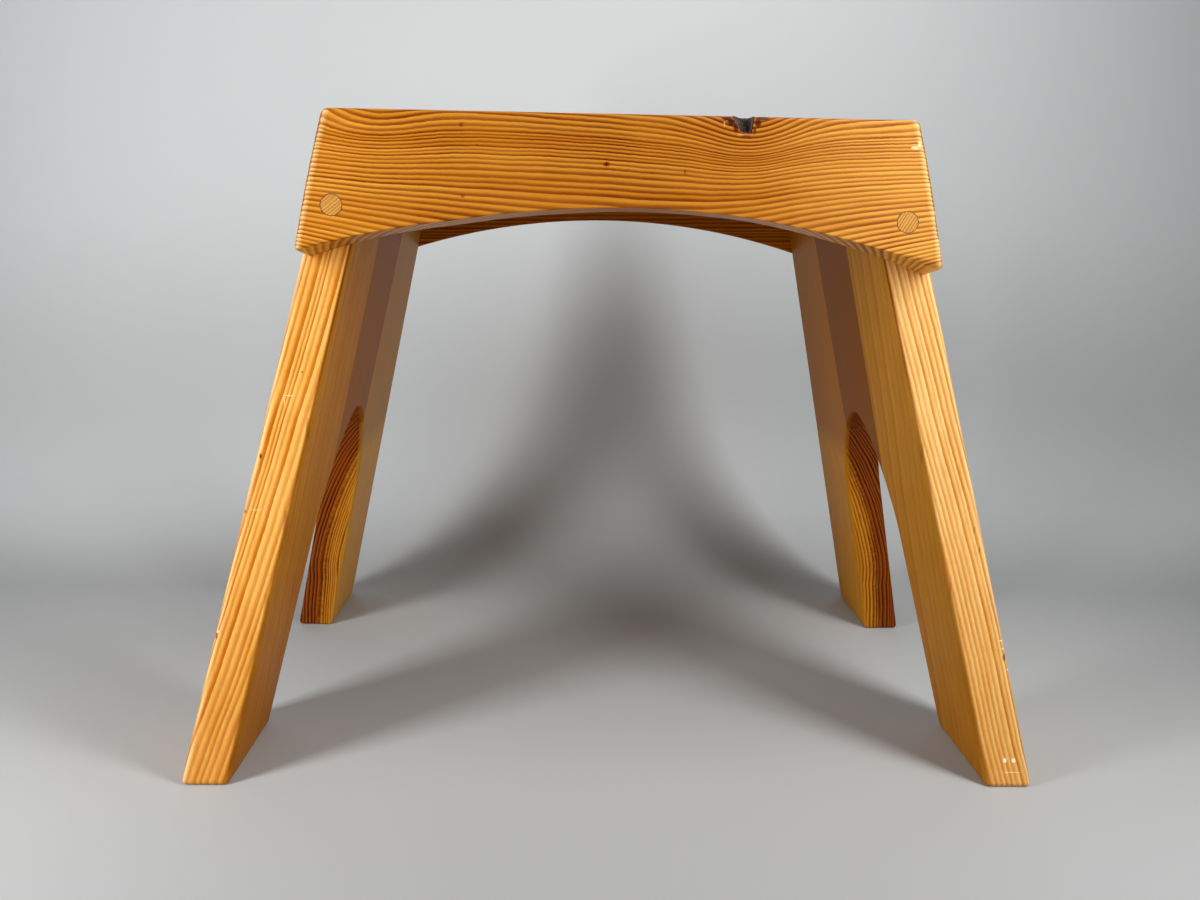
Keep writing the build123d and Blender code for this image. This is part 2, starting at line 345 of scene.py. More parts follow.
# %% [markdown]
# ## The front rail's rings
# The board was sawn beside a knot that has since fallen out of the upper edge. Growth
# rings always flow round a knot, so every line under it dips like a hammock, most at the
# top and least at the arch. A second, smaller dip lies near the left end, above a knot
# that the saw only just missed. The rings in the board's middle were followed one by one,
# and those near its edges are evenly spaced.

# %% The front rail's rings
FRONT_AUTUMNS = [
    *range(239, 317, 7), 323.6, 330.3, 335.8, 341.3, 346, 350.4, 355.2, 359, 362.4, 366.5, 370.1, 372.8,
    375.5, 377.6, 379.5, 381.7, 383.9, 385.6, 387.1, 389.7, 392.5, 395.5, 398.5, 402, 406.5,
    *range(411, 447, 5),
]
# each dip: its depth, its place along the rail, its half width, and the depth at which it
# has faded
FRONT_DIPS = [(-20.5, 72.7, 25.7, 19.0), (-9.0, -140.2, 29.9, 24.8), (-4.7, 53.5, 56.8, 1e6)]
# the board's own slow bow, in tenths of a metre: the part that is straight in x and the
# part that is square in x, each by the depth under the top
BOW_STRAIGHT, BOW_SQUARE = (-3.53, 8.77, -1.49), (60.5, -23.1, 3.2)
# how far the rings climb for each millimetre behind the face
RING_TILT = 0.75


def by_depth(tree, deep, terms):
    """The sum of a square, a straight and a constant term of the depth under the top."""
    square, straight, constant = terms
    total = add(tree, "Math", [deep, square, straight], operation="MULTIPLY_ADD")
    return add(tree, "Math", [deep, total, constant], operation="MULTIPLY_ADD")


def hammock(tree, x, down, dip):
    """How much of a dip is left at a place: all of it at its middle, little far from it."""
    _, at, half_width, fades = dip
    off = add(tree, "Math", [x, 1 / half_width, -at / half_width], operation="MULTIPLY_ADD")
    off = add(tree, "Math", [off, off], operation="MULTIPLY")
    off = add(tree, "Math", [down, 1 / fades, off], operation="MULTIPLY_ADD")
    off = add(tree, "Math", [off, -1.0], operation="MULTIPLY")
    return add(tree, "Math", [off], operation="EXPONENT")


def front_course(tree, place):
    """Down through the rings of the front rail, in millimetres."""
    x, y, z = (add(tree, "SeparateXYZ", [place], out=i) for i in range(3))
    down = add(tree, "Math", [stool_top, z], operation="SUBTRACT")
    deep = add(tree, "Math", [down, 0.01], operation="MULTIPLY")
    far = add(tree, "Math", [x, 0.01], operation="MULTIPLY")
    straight, square = (by_depth(tree, deep, terms) for terms in (BOW_STRAIGHT, BOW_SQUARE))
    bow = add(tree, "Math", [far, square, straight], operation="MULTIPLY_ADD")
    bow = add(tree, "Math", [far, bow], operation="MULTIPLY")
    for dip in FRONT_DIPS:
        bow = add(tree, "Math", [hammock(tree, x, down, dip), dip[0], bow], operation="MULTIPLY_ADD")
    face = add(tree, "Math", [down, -side_slope, -rail_face_reach], operation="MULTIPLY_ADD")
    behind = add(tree, "Math", [y, face], operation="SUBTRACT")
    up = add(tree, "Math", [z, bow], operation="SUBTRACT")
    up = add(tree, "Math", [behind, RING_TILT, up], operation="MULTIPLY_ADD")
    # autumn ends on the lower side of each ring, so the distance is counted downwards
    return add(tree, "Math", [up, -1.0], operation="MULTIPLY")


print("the front rail has", len(FRONT_AUTUMNS), "autumns and", len(FRONT_DIPS), "dips")

# %% [markdown]
# ## Knots, painted light and painted shade on the front rail
# The rail carries a few pin knots, dark wood round the place of the fallen knot, and a
# chip at its right end. Its middle carries painted shade and its right end painted light,
# and its ends carry a painted highlight band just inside a painted shadow line.

# %% The front rail's marks and glazes
# place along the rail and up, size along X, Y and Z, colour, and strength
FRONT_KNOTS = [
    # pin knots
    (-9, 372, (2.0, 3, 1.5), "#6A2408", 0.9), (-9, 372, (0.8, 3, 0.8), "#2A0A02", 0.9),
    (-91, 392, (1.4, 3, 1.4), "#7A300C", 0.8), (-90, 353, (1.3, 3, 1.1), "#7A300C", 0.7),
    (35.5, 368.6, (0.7, 3, 1.4), "#6B2A0C", 0.7), (-82.3, 381, (0.9, 3, 0.8), "#7A300C", 0.6),
    # the dark wood that held the fallen knot
    (59.0, 398.4, (3.4, 4, 1.5), "#4A1404", 0.95), (61.3, 396.2, (2.4, 4, 2.0), "#3A0E03", 0.95),
    (64.0, 393.6, (1.6, 4, 3.0), "#4A1404", 0.92), (70.2, 388.6, (3.6, 4, 0.9), "#6E2A0A", 0.8),
    (79.2, 398.9, (4.6, 4, 1.1), "#3A0E03", 0.9), (76.4, 396.4, (2.1, 4, 2.6), "#4A1404", 0.9),
    (74.6, 391.8, (1.0, 4, 2.0), "#5E2008", 0.85),
    # a chip at the right end that shows bare wood
    (166.8, 384.4, (2.3, 5, 1.0), "#FADFA8", 0.85), (169.3, 386.4, (1.1, 5, 2.1), "#FADFA8", 0.85),
    # a pale rim on the knot's left
    (57.4, 395.2, (0.5, 3, 1.6), "#F0BC7C", 0.5), (66.6, 389.6, (1.6, 3, 0.35), "#F0BC7C", 0.5),
]
# how far a rail reaches to each end, by height
RAIL_ENDS = [(306, 187.0), (330, 183.6), (353, 179.0), (377, 173.9), (400, 168.5)]
# a painted highlight band on the rounded ends, by the distance in from the end
END_HIGHLIGHT = [(-2, 0.0), (0.6, 0.0), (1.2, 0.6), (2.4, 0.45), (4.0, 0.0), (400, 0.0)]
# a painted shadow line at the very end, where the side face turns away into shade
END_SHADOW_LINE = [(-2, 0.75), (0.4, 0.75), (1.0, 0.0), (400, 0.0)]
# painted shade along the rail's middle, where the lamps light it least
SHADED_MIDDLE = [(-190, 0.0), (-100, 0.65), (-20, 0.9), (60, 1.0), (110, 0.7), (180, 0.0)]
# painted light towards the rail's right end, nearest the right lamp
LIT_RIGHT_END = [(80, 0.0), (130, 0.14), (190, 0.22)]


def face_y(z):
    """The front rail's outer face at a height, in millimetres along Y."""
    return -(rail_face_reach + side_slope * (stool_top - z))


def rail_end_band(points):
    """A band along a rail's ends: how strong it is, by the distance in from the end."""
    def band(tree, place):
        x, z = (add(tree, "SeparateXYZ", [place], out=i) for i in (0, 2))
        reach = add(tree, "Math", [x], operation="ABSOLUTE")
        inward = add(tree, "Math", [drawn(tree, z, RAIL_ENDS), reach], operation="SUBTRACT")
        return drawn(tree, inward, points)
    return band


def along_rail(points):
    """A glaze's strength along the rail."""
    def strength(tree, place):
        return drawn(tree, add(tree, "SeparateXYZ", [place]), points)
    return strength


rail_marks = [((x, face_y(z), z), size, colour, strength) for x, z, size, colour, strength in FRONT_KNOTS]
rail_pine = pine(
    "lacquered pine, quarter-sawn front rail", front_course,
    [-a for a in reversed(FRONT_AUTUMNS)], (1, 0, 0),
    spring="#F2A93C", summer="#D68216", autumn="#7A2E00", marks=rail_marks, relief_mm=0.12, fade=0.25,
    # glazes: painted shade, painted light, a painted highlight band and a painted shadow line
    glazes=((along_rail(SHADED_MIDDLE), "#E0D6C6", "MULTIPLY", None),
            (along_rail(LIT_RIGHT_END), "#FFD078", "MIX", None),
            (rail_end_band(END_HIGHLIGHT), "#FFE09A", "MIX", None),
            (rail_end_band(END_SHADOW_LINE), "#8A5A3C", "MULTIPLY", None)))
print("the front rail carries", len(rail_marks), "marks")

# %% [markdown]
# ## Boards sawn straight
# Away from knots a board's rings are nearly flat sheets. Such a board needs only the
# direction square to its rings and the width of its years. The direction is given along
# X, Y and Z, and the years are drawn from a seed, because no two boards match.

# %% Straight boards
# the narrowest and the widest year, as shares of the mean
NARROWEST_YEAR, WIDEST_YEAR = 0.45, 1.9


def years_of(seed, first, last, width, spread):
    """Where the autumns fall between two distances, for a mean ring width."""
    chance = np.random.default_rng(seed)
    ends = [float(first)]
    while ends[-1] < last:
        growth = float(np.clip(chance.normal(1.0, spread), NARROWEST_YEAR, WIDEST_YEAR))
        ends.append(ends[-1] + width * growth)
    return ends


def straight_course(direction):
    """The distance through the rings of a board whose rings are flat sheets."""
    def course(tree, place):
        return add(tree, "VectorMath", [place, direction], out=1, operation="DOT_PRODUCT")
    return course


rear_rail_pine = pine(
    "lacquered pine, rear rail", straight_course((0.02, 0.6, -0.9)),
    years_of(5, -480, 60, 3.4, 0.25), (1, 0, 0),
    spring="#CC820D", summer="#BA6E06", autumn="#7A3000", sheen=0.04)
seat_pines = [
    pine(f"lacquered pine, {where} seat board", straight_course((0.01, 0.9 * tilt, 0.5)),
         years_of(seed, 0, 460, 3.8, 0.25), (1, 0, 0), spring="#E0A045", summer="#D08A2C", autumn="#86440C")
    for seed, (where, tilt) in enumerate((("front", 1), ("middle", -1), ("rear", 1)), start=11)
]
print("straight boards:", rear_rail_pine.name, "and", len(seat_pines), "seat boards")

# %% [markdown]
# ## Finding the way through a leg
# Each leg panel is three staves edge to edge, and it slopes two ways. Two distances say
# where a place is in it: inwards from the outer face, and back from the front edge. The
# trunk leaned a little as well, so the rings drift sideways along the height.


# %% The way through a leg
def leg_inward(side, tree, place):
    """The distance inwards from a leg panel's outer face."""
    inward = add(tree, "VectorMath", [place, (-side, 0.0, -leg_slope)], out=1, operation="DOT_PRODUCT")
    return add(tree, "Math", [inward, leg_top_reach + leg_slope * stool_top], operation="ADD")


def up_the_leg(tree, place, points, bends="VECTOR"):
    """A curve along the height, which is the third part of a place."""
    return drawn(tree, add(tree, "SeparateXYZ", [place], out=2), points, bends)


def leg_course(side, tilt, leans):
    """Inwards through a leg, tilted by tilt from front to back, with the drift along the
    height as a list of heights and distances."""
    def course(tree, place):
        inward = leg_inward(side, tree, place)
        edge = add(tree, "VectorMath", [place, (0.0, 1.0, -side_slope)], out=1, operation="DOT_PRODUCT")
        edge = add(tree, "Math", [edge, side_top_reach + side_slope * stool_top], operation="ADD")
        way = add(tree, "Math", [edge, tilt, inward], operation="MULTIPLY_ADD")
        lean = up_the_leg(tree, place, leans, "AUTO_CLAMPED")
        return add(tree, "Math", [way, lean], operation="ADD")
    return course


def on_edge(side, inward, z):
    """A place on a leg's front edge: inwards from the outer arris, and up from the floor."""
    x = leg_top_reach + leg_slope * (stool_top - z) - inward
    return (side * x, -(side_top_reach + side_slope * (stool_top - z)), z)


print("a leg's outer face meets the floor", round(leg_top_reach + leg_slope * stool_top, 1), "mm out")

# %% [markdown]
# ## The front staves
# On the front staves the rings are met nearly square on by the sloping front edge, so they
# run down it as bold lines that drift outwards towards the foot. These edges meet shoes,
# brooms and door frames, so they carry the most knocks and scratches.

# %% The front staves' rings and knocks
LEFT_LEANS = [(0, 26.0), (31, 22.3), (63, 17.7), (95, 14.5), (143, 10.5), (191, 6.8), (223, 4.8),
              (263, 1.7), (300, 0.0), (400, -3.0)]
RIGHT_LEANS = [(0, 14.2), (31, 12.7), (79, 12.0), (111, 11.2), (143, 9.8), (191, 6.7), (215, 4.7),
               (255, 2.8), (300, 0.0), (400, -4.0)]
LEFT_AUTUMNS = [-60, -54, -49, -45, -40, -36, -31, -27, -22, -18, -14, -10, -6, -1.5, 2.8, 6.2, 11.7, 14.5,
                16.8, 20.2, 24.9, 29.9, 34.9, 38.4, 42.5, 48, 52, 56, 60]
RIGHT_AUTUMNS = [-60, -56, -51, -47, -42, -38, -33, -29, -24, -20, -15, -11, -7, -3, 1.2, 4, 7.1, 10.9,
                 14.5, 17, 20.4, 24.2, 27.4, 30.6, 33.7, 37.2, 41, 45, 49]
# knocks and scratches: how far in and how high, size along X, Y and Z, colour, and strength
LEFT_KNOCKS = [
    (3.0, 200, (0.9, 2.0, 1.7), "#4A1E08", 0.9), (1.2, 167, (1.0, 2.0, 1.2), "#5A2A0C", 0.7),
    (11.5, 236, (3.4, 2.0, 0.35), "#FFE6B4", 0.6), (9.5, 233, (0.35, 2.0, 3.0), "#FFE6B4", 0.5),
    (8.0, 168, (4.5, 2.0, 0.3), "#FFE6B4", 0.35), (1.0, 92, (1.2, 2.0, 2.0), "#6B3410", 0.8),
    (1.8, 94.5, (0.8, 2.0, 0.7), "#FFEBC4", 0.7), (16.0, 250, (0.6, 2.0, 0.8), "#7A3A10", 0.8),
    (27.0, 160, (1.6, 3.0, 12.0), "#A25E1E", 0.5), (27.5, 215, (1.2, 3.0, 9.0), "#9A561A", 0.5),
    (27.0, 110, (1.5, 3.0, 10.0), "#A86420", 0.4),
]
RIGHT_KNOCKS = [
    (8.6, 17.5, (1.3, 2.0, 1.5), "#FFF6E0", 0.95), (14.2, 17.5, (1.1, 2.0, 1.6), "#FFF6E0", 0.95),
    (11.0, 10, (6.0, 2.0, 0.35), "#FFEBC4", 0.6), (1.0, 92, (2.2, 2.5, 0.4), "#FFF2D4", 0.8),
    (1.0, 87, (1.8, 2.5, 0.4), "#FFF2D4", 0.7), (0.8, 74, (1.8, 2.5, 0.4), "#FFF2D4", 0.7),
    (1.6, 82, (1.4, 2.5, 2.6), "#5E2A0E", 0.7), (5.0, 160, (0.5, 2.0, 2.2), "#7A3E16", 0.6),
    (4.0, 148, (0.5, 2.0, 1.8), "#7A3E16", 0.6), (28.0, 205, (1.0, 3.0, 8.0), "#94561E", 0.5),
    (28.0, 120, (1.0, 3.0, 12.0), "#9A5C22", 0.5),
]
print(len(LEFT_KNOCKS) + len(RIGHT_KNOCKS), "knocks on the front staves")

# %% [markdown]
# ## Painted light and shade on the legs
# A leg's inner face shows the rings' broad faces, so it looks plainer than its edge, and it
# carries painted light and shade. The foot is darker towards the floor, the outer arris carries
# a painted highlight, and a painted shadow line runs down the inner arris from the rail.

# %% Painted light and shade on the legs
INNER_FACE_FROM = 25.6
# how much darker a leg is by height: darker towards the foot
FOOT_DARKER = [(0, 1.0), (60, 0.8), (150, 0.25), (240, 0.0), (400, 0.0)]
OUTER_ARRIS_HIGHLIGHT = [(-1, 0.0), (0.6, 0.0), (1.2, 0.5), (2.6, 0.35), (4.0, 0.0), (40, 0.0)]
# a painted shadow line on the inner arris, and its strength by height, strongest under the rail
INNER_ARRIS_SHADE = [(24, 0.0), (26.2, 0.0), (27.0, 1.0), (27.7, 1.0), (27.95, 0.0), (30, 0.0)]
INNER_SHADE_BY_HEIGHT = [(0, 0.12), (120, 0.2), (230, 0.45), (300, 0.85), (400, 0.9)]


def leg_inner_face(side, most=1.0):
    """The inner face of a leg panel, up to most."""
    def face(tree, place):
        inward = leg_inward(side, tree, place)
        return add(tree, "MapRange", [inward, INNER_FACE_FROM, BOARD_THICKNESS, 0.0, most])
    return face


def leg_foot(tree, place):
    """The lower part of a leg."""
    return up_the_leg(tree, place, FOOT_DARKER)


def leg_arris_highlight(side):
    """The leg's outer arris, where a highlight is painted."""
    def band(tree, place):
        return drawn(tree, leg_inward(side, tree, place), OUTER_ARRIS_HIGHLIGHT)
    return band


def leg_inner_arris_shade(side):
    """The leg's inner arris, where a shadow line is painted, strongest where it meets the rail."""
    def line(tree, place):
        near = drawn(tree, leg_inward(side, tree, place), INNER_ARRIS_SHADE)
        return add(tree, "Math", [near, up_the_leg(tree, place, INNER_SHADE_BY_HEIGHT)], operation="MULTIPLY")
    return line


def heart_behind(side, limits):
    """How far a place lies on the outer side of the heartwood's limit in a rear stave."""
    def inside(tree, place):
        limit = up_the_leg(tree, place, limits)
        return add(tree, "Math", [limit, leg_inward(side, tree, place)], operation="SUBTRACT")
    return inside


print("a leg's inner face starts", INNER_FACE_FROM, "mm in")

# %% [markdown]
# ## The three staves of each leg
# The front staves are pale sapwood. The middle staves are dark heartwood. The rear staves
# hold both: heartwood towards the outer face and pale sapwood towards the inner one, which
# shows where the notch is sawn through them. Their rings fan out towards the foot.

# %% The leg staves
# colours of the front stave's spring, summer and autumn wood, of its darker foot and of the
# painted shade on its inner face, and of painted light and shade on the middle and rear staves' inner faces
LEFT_COLOURS = ("#FFC468", "#F0AC48", "#BC6200", "#E6D8C2", "#C6AE5C", "#A0601A", "#EDB44A")
RIGHT_COLOURS = ("#FFCE84", "#F2B464", "#BE761E", "#F2E6CC", "#B6A052", "#7E4A0E", "#BC8214")
MIDDLE_LEANS = [(0, 0.0), (400, 3.0)]
REAR_LEANS = [(0, -18.0), (40, -9.0), (100, -1.0), (140, -4.0), (180, -11.0), (210, -18.0), (400, -22.0)]
HEART_LIMITS = [(0, 18), (40, 15.5), (80, 13.5), (106, 14.5), (125, 18), (140, 21), (155, 24.5), (165, 28),
                (180, 32), (400, 32)]
leg_pines = {}
for side, end, tilt, leans, autumns, knocks, colours in (
        (-1, "left", -0.55, LEFT_LEANS, LEFT_AUTUMNS, LEFT_KNOCKS, LEFT_COLOURS),
        (1, "right", -0.31, RIGHT_LEANS, RIGHT_AUTUMNS, RIGHT_KNOCKS, RIGHT_COLOURS)):
    spring, summer, autumn, foot, front_inner_shade, middle_inner_shading, rear_inner_shading = colours
    leg_pines[f"{end}_leg_front_stave"] = pine(
        f"lacquered pine, {end} front stave", leg_course(side, tilt, leans), autumns, (0, 0, 1),
        spring=spring, summer=summer, autumn=autumn, fade=0.4, faint=leg_inner_face(side),
        marks=[(on_edge(side, inward, z), size, colour, strength)
               for inward, z, size, colour, strength in knocks],
        # glazes: the darker foot, a painted highlight on the outer arris, a painted shadow line down the
        # inner arris and painted shade on the inner face
        glazes=((leg_foot, foot, "MULTIPLY", None), (leg_arris_highlight(side), "#FFE2A4", "MIX", None),
                (leg_inner_arris_shade(side), "#A85A28", "MULTIPLY", None),
                (leg_inner_face(side), front_inner_shade, "MULTIPLY", 0.017)))
    leg_pines[f"{end}_leg_middle_stave"] = pine(
        f"lacquered pine heartwood, {end} middle stave", leg_course(side, 0.9, MIDDLE_LEANS),
        years_of(21 + side, -40, 240, 2.0, 0.25), (0, 0, 1),
        spring="#8E440E", summer="#7C3808", autumn="#3A0C00", sheen=0.02, faint=leg_inner_face(side),
        # painted light and shade on the middle stave's inner face
        glazes=((leg_inner_face(side, 0.92), middle_inner_shading, "MIX", None),))
    leg_pines[f"{end}_leg_rear_stave"] = pine(
        f"lacquered pine, {end} rear stave, part heartwood", leg_course(side, 0.4, REAR_LEANS),
        years_of(31 + side, -60, 200, 2.8, 0.25), (0, 0, 1),
        spring="#CC8624", summer="#BA7218", autumn="#6A2C04", sheen=0.04, fade=0.2,
        # painted light and shade on the rear stave's inner face
        faint=leg_inner_face(side), glazes=((leg_inner_face(side, 0.45), rear_inner_shading, "MIX", 0.0),),
        heart=(heart_behind(side, HEART_LIMITS), "#8E440E", "#300800"))
print(len(leg_pines), "leg staves")

# %% [markdown]
# ## Pegs
# A peg is a dowel driven through the rail and planed flush, so it shows end grain: pale,
# matt and crossed by fine rings at whatever angle the dowel happened to be turned.

# %% Pegs
PEG_TURNS = {"front_left_peg": 40, "front_right_peg": 58, "rear_left_peg": 10, "rear_right_peg": 75}
# how far the years are drawn to each side of a peg's middle, in millimetres
PEG_YEARS_REACH = 14
peg_woods = {}
for name, degrees in PEG_TURNS.items():
    turn = math.radians(degrees)
    middle = 500 * (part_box(name)[0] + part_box(name)[1])
    through = middle.z * math.cos(turn) - middle.x * math.sin(turn)
    peg_woods[name] = pine(
        f"birch end grain, {name.replace('_', ' ')}",
        straight_course((-math.sin(turn), 0.0, math.cos(turn))),
        years_of(41 + degrees, through - PEG_YEARS_REACH, through + PEG_YEARS_REACH, 1.35, 0.2), (0, 1, 0),
        spring="#DCA550", summer="#CE9442", autumn="#9E6022", roughness=0.5, relief_mm=0.03)
dowel_wood = pine("birch dowel", straight_course((1, 0, 0)), years_of(7, -200, 200, 1.4, 0.2), (0, 0, 1),
                  spring="#E4C08A", summer="#DAB277", autumn="#C29A60", roughness=0.6)
print(len(peg_woods), "pegs show end grain")

# %% [markdown]
# ## Dress every piece
# Each board keeps its own solid from the construction model and takes its own material,
# because two boards in a real stool never share their grain. The hidden dowels share one.

# %% Dress the pieces
dress = {"front_rail": rail_pine, "rear_rail": rear_rail_pine, **leg_pines, **peg_woods}
dress.update(zip(("front_seat_board", "middle_seat_board", "rear_seat_board"), seat_pines))
for name, piece in nodes.items():
    piece.data.materials.clear()
    piece.data.materials.append(dress.get(name, dowel_wood))
print(len(nodes), "pieces dressed")

# %% [markdown]
# ## Measuring from the arch
# The rail's outer edges are rounded all round, but along the arch the joiner only took
# the sharpness off, so the lit face runs down almost to the corner. The arch was also sawn
# nearly level, not square to the leaning face, so its front edge hangs lower. A detailed
# rail shows both. It starts as a copy of the board, and two distances say where each of
# its points lies: behind the outer face, and above the arch.

# %% Measure from the arch
# the arch's rise, how far its middle lies to the right, how far its crown lies under the
# seat's top, and half the length between its feet
ARCH_RISE, ARCH_SHIFT, ARCH_DROP, FOOT_HALF_LENGTH = 34.43, -6.0, 52.2, 187.02
arch_radius = (FOOT_HALF_LENGTH ** 2 + ARCH_RISE ** 2) / (2 * ARCH_RISE)
lean = math.radians(SIDE_LEAN_DEGREES)
out_of_face = np.array([0.0, -math.cos(lean), math.sin(lean)])
up_the_slope = np.array([0.0, math.sin(lean), math.cos(lean)])
crisp_mesh = nodes["front_rail"].data.copy()
crisp_points = np.empty(3 * len(crisp_mesh.vertices))
crisp_mesh.vertices.foreach_get("co", crisp_points)
crisp_points = 1000 * crisp_points.reshape(-1, 3)
from_top = crisp_points - np.array([0.0, -side_top_reach, stool_top])
below_face = BOARD_THICKNESS - from_top @ out_of_face
across = from_top[:, 0] - ARCH_SHIFT
upward = from_top @ up_the_slope + ARCH_DROP / math.cos(lean) + arch_radius
from_centre = np.hypot(across, upward)
above_arch = from_centre - arch_radius
toward_centre = -(np.outer(across / from_centre, (1.0, 0.0, 0.0))
                  + np.outer(upward / from_centre, up_the_slope))
print("the arch is part of a circle of", round(arch_radius, 1), "mm")

# %% [markdown]
# ## The arch's crisp edge
# The rounding shrinks towards its corner to a quarter of its size, less and less near the
# rail's ends. Then the whole underside goes down, its front edge the most. Two lists give
# how much lower its front and its back edge are, along the rail. The surface turns a
# little to the back with that, and so do the facings that the renderer shades it by.

# %% A crisper arch edge
EDGE_RADIUS, CRISP_SHARE, NEARLY = 3.2, 0.25, 0.05
# the crisp edge ends this far from the arch's middle, and fades over this length
CRISP_TO, CRISP_FADE = 180.0, 12.0
FRONT_SAG = [(-180, 0.0), (-137, 2.8), (-88, 5.2), (-30, 4.9), (5, 4.1), (50, 3.3), (87, 2.6), (130, 2.2),
             (160, 1.4), (180, 0.0)]
BACK_SAG = [(-180, 0.0), (-137, 0.6), (-88, 3.0), (-30, 2.4), (5, 1.2), (50, 0.0), (87, -1.0), (130, -0.5),
            (180, 0.0)]
underside = above_arch < EDGE_RADIUS + NEARLY
rounded = underside & (below_face < EDGE_RADIUS + NEARLY)
crispness = (1 - CRISP_SHARE) * np.clip((CRISP_TO - np.abs(across)) / CRISP_FADE, 0.0, 1.0)
shrunk = np.where(rounded, crispness, 0.0)
crisp_points += (shrunk * below_face)[:, None] * out_of_face
crisp_points += (shrunk * above_arch)[:, None] * toward_centre
front_sag, back_sag = (np.interp(across, *zip(*sag)) for sag in (FRONT_SAG, BACK_SAG))
depth_share = np.clip(below_face / BOARD_THICKNESS, 0.0, 1.0)
sagged = np.where(underside, front_sag + depth_share * (back_sag - front_sag), 0.0)
crisp_points += sagged[:, None] * toward_centre
crisp_mesh.vertices.foreach_set("co", (crisp_points / 1000).ravel())
corner_points = np.empty(len(crisp_mesh.loops), dtype=int)
crisp_mesh.loops.foreach_get("vertex_index", corner_points)
facings = np.array([corner.vector for corner in nodes["front_rail"].data.corner_normals])
tilt = np.where(underside, (front_sag - back_sag) / BOARD_THICKNESS, 0.0)[corner_points]
facings -= (tilt * (facings * toward_centre[corner_points]).sum(1))[:, None] * out_of_face
facings /= np.linalg.norm(facings, axis=1)[:, None]
crisp_mesh.normals_split_custom_set([tuple(facing) for facing in facings])
crisp_rail = put("front_rail_crisp", crisp_mesh)
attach(crisp_rail, "root")
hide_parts("front_rail")
print(int(underside.sum()), "points of the arch moved, by up to", round(float(sagged.max()), 1), "mm")

# %% [markdown]
# ## What is left of the fallen knot
# A dead knot has its own bark and shrinks away from the board. When it falls out it
# leaves a hollow lined with torn, weathered grey wood. The lining is a thin rough shell
# that follows the hollow's narrow bottom and slanted sides. It is built as a grid of
# points round the hollow, closed at the back, so that it is a solid of its own.

# %% The lining's shape
# the hollow along the rail, and how far it reaches from the rail's upper edge there
KNOT_OUTLINE = [(62.2, 0.7), (63.9, 3.6), (65.8, 6.9), (67.0, 9.0), (68.4, 10.0), (70.1, 10.0),
                (71.5, 10.0), (72.5, 9.0), (73.2, 6.2), (73.7, 3.6), (74.2, 0.9)]
ROWS, COLUMNS, FIRST_TURN, LAST_TURN = 61, 45, 0.6, 93
# the shell's thickness in millimetres, how far its back is buried, and its least radius
MIDDLING, ROUGHNESS, THINNEST, THICKEST = 0.55, 0.35, 0.15, 1.5
RIM_THICKNESS, BURIED, LEAST_REACH = 0.03, -0.3, 0.2
chance = np.random.default_rng(3)
marks_along = np.linspace(0, len(KNOT_OUTLINE) - 1, ROWS)
outline_x = np.interp(marks_along, range(len(KNOT_OUTLINE)), [x for x, _ in KNOT_OUTLINE])
outline_r = np.interp(marks_along, range(len(KNOT_OUTLINE)), [r for _, r in KNOT_OUTLINE])
turns = np.radians(np.linspace(FIRST_TURN, LAST_TURN, COLUMNS))
rough = chance.normal(0.0, 1.0, (ROWS, COLUMNS))
for _ in range(2):
    # rough at first, then smoothed, so that it is torn fibre and not sand
    rough = (rough + np.roll(rough, 1, 0) + np.roll(rough, -1, 0) + np.roll(rough, 1, 1)
             + np.roll(rough, -1, 1)) / 3.6
# the shell thins to nothing over three rows at the sides and four columns at the back
from_side = np.minimum(np.arange(ROWS), np.arange(ROWS)[::-1]) / 3
from_back = (COLUMNS - 1 - np.arange(COLUMNS)) / 4
rim = np.minimum(1.0, np.minimum.outer(from_side, from_back))
shell = np.clip(MIDDLING + ROUGHNESS * rough, THINNEST, THICKEST) * rim + RIM_THICKNESS
lining_points = []
for lift in (shell, np.full_like(shell, BURIED)):
    for i in range(ROWS):
        for j in range(COLUMNS):
            reach = max(outline_r[i] - lift[i, j], LEAST_REACH)
            y = -rail_face_reach + reach * math.cos(turns[j])
            z = stool_top - reach * math.sin(turns[j])
            lining_points.append((outline_x[i] / 1000, y / 1000, z / 1000))
print("the lining is up to", round(float(shell.max()), 2), "mm thick")

# %% [markdown]
# ## Closing the lining
# The shell's front and back are grids of four-sided faces, and a strip round their border
# closes them.


# %% The lining's faces
def grid_faces(rows, columns, start, flip):
    """The faces of a grid of points, turned over when flip is set."""
    corners = [(start + i * columns + j, start + (i + 1) * columns + j, start + (i + 1) * columns + j + 1,
                start + i * columns + j + 1)
               for i in range(rows - 1) for j in range(columns - 1)]
    return [c[::-1] for c in corners] if flip else corners


back = ROWS * COLUMNS
border = [i * COLUMNS for i in range(ROWS)] + [(ROWS - 1) * COLUMNS + j for j in range(1, COLUMNS)]
border += [i * COLUMNS + COLUMNS - 1 for i in range(ROWS - 2, -1, -1)] + list(range(COLUMNS - 2, 0, -1))
lining_faces = grid_faces(ROWS, COLUMNS, 0, False) + grid_faces(ROWS, COLUMNS, back, True)
lining_faces += [(border[k], border[k - 1], back + border[k - 1], back + border[k])
                 for k in range(len(border))]
lining_mesh = bpy.data.meshes.new("knot_lining")
lining_mesh.from_pydata(lining_points, [], lining_faces)
lining = put("knot_lining", lining_mesh)
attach(lining, "root")
print("the lining has", len(lining_faces), "faces")

# %% [markdown]
# ## Torn, weathered wood
# Bare wood that has met air and dust for years goes grey. It is matt, with specks 0.6 mm
# across, and a little bark is left at the bottom of the hollow, which keeps it reddish.

